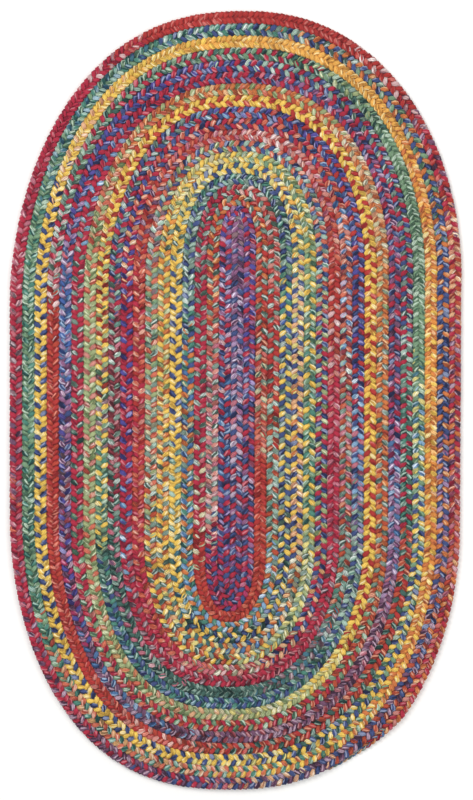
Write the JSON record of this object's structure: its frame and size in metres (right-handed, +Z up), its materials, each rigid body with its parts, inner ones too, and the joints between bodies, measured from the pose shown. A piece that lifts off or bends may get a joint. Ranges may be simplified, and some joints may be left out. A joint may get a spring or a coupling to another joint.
{
  "type": "braided rug",
  "caption": "Oval braided rug: one three-strand yarn braid coiled flat in rows around a straight core row and laced edge to edge, with a tapered last end.",
  "frame": {"origin": "centre of the rug's footprint on the flat underside", "axes": "+Z up out of the face, +Y along the length towards the end where the braid begins, +X across the width towards the side where the braid's last end comes down"},
  "size_m": [0.686, 1.1832, 0.0095],
  "materials": {
    "braid_yarn": "matt multicoloured wool-blend yarn"
  },
  "bodies": {
    "root": {"braided_rug": "braid_yarn"}
  },
  "joints": []
}
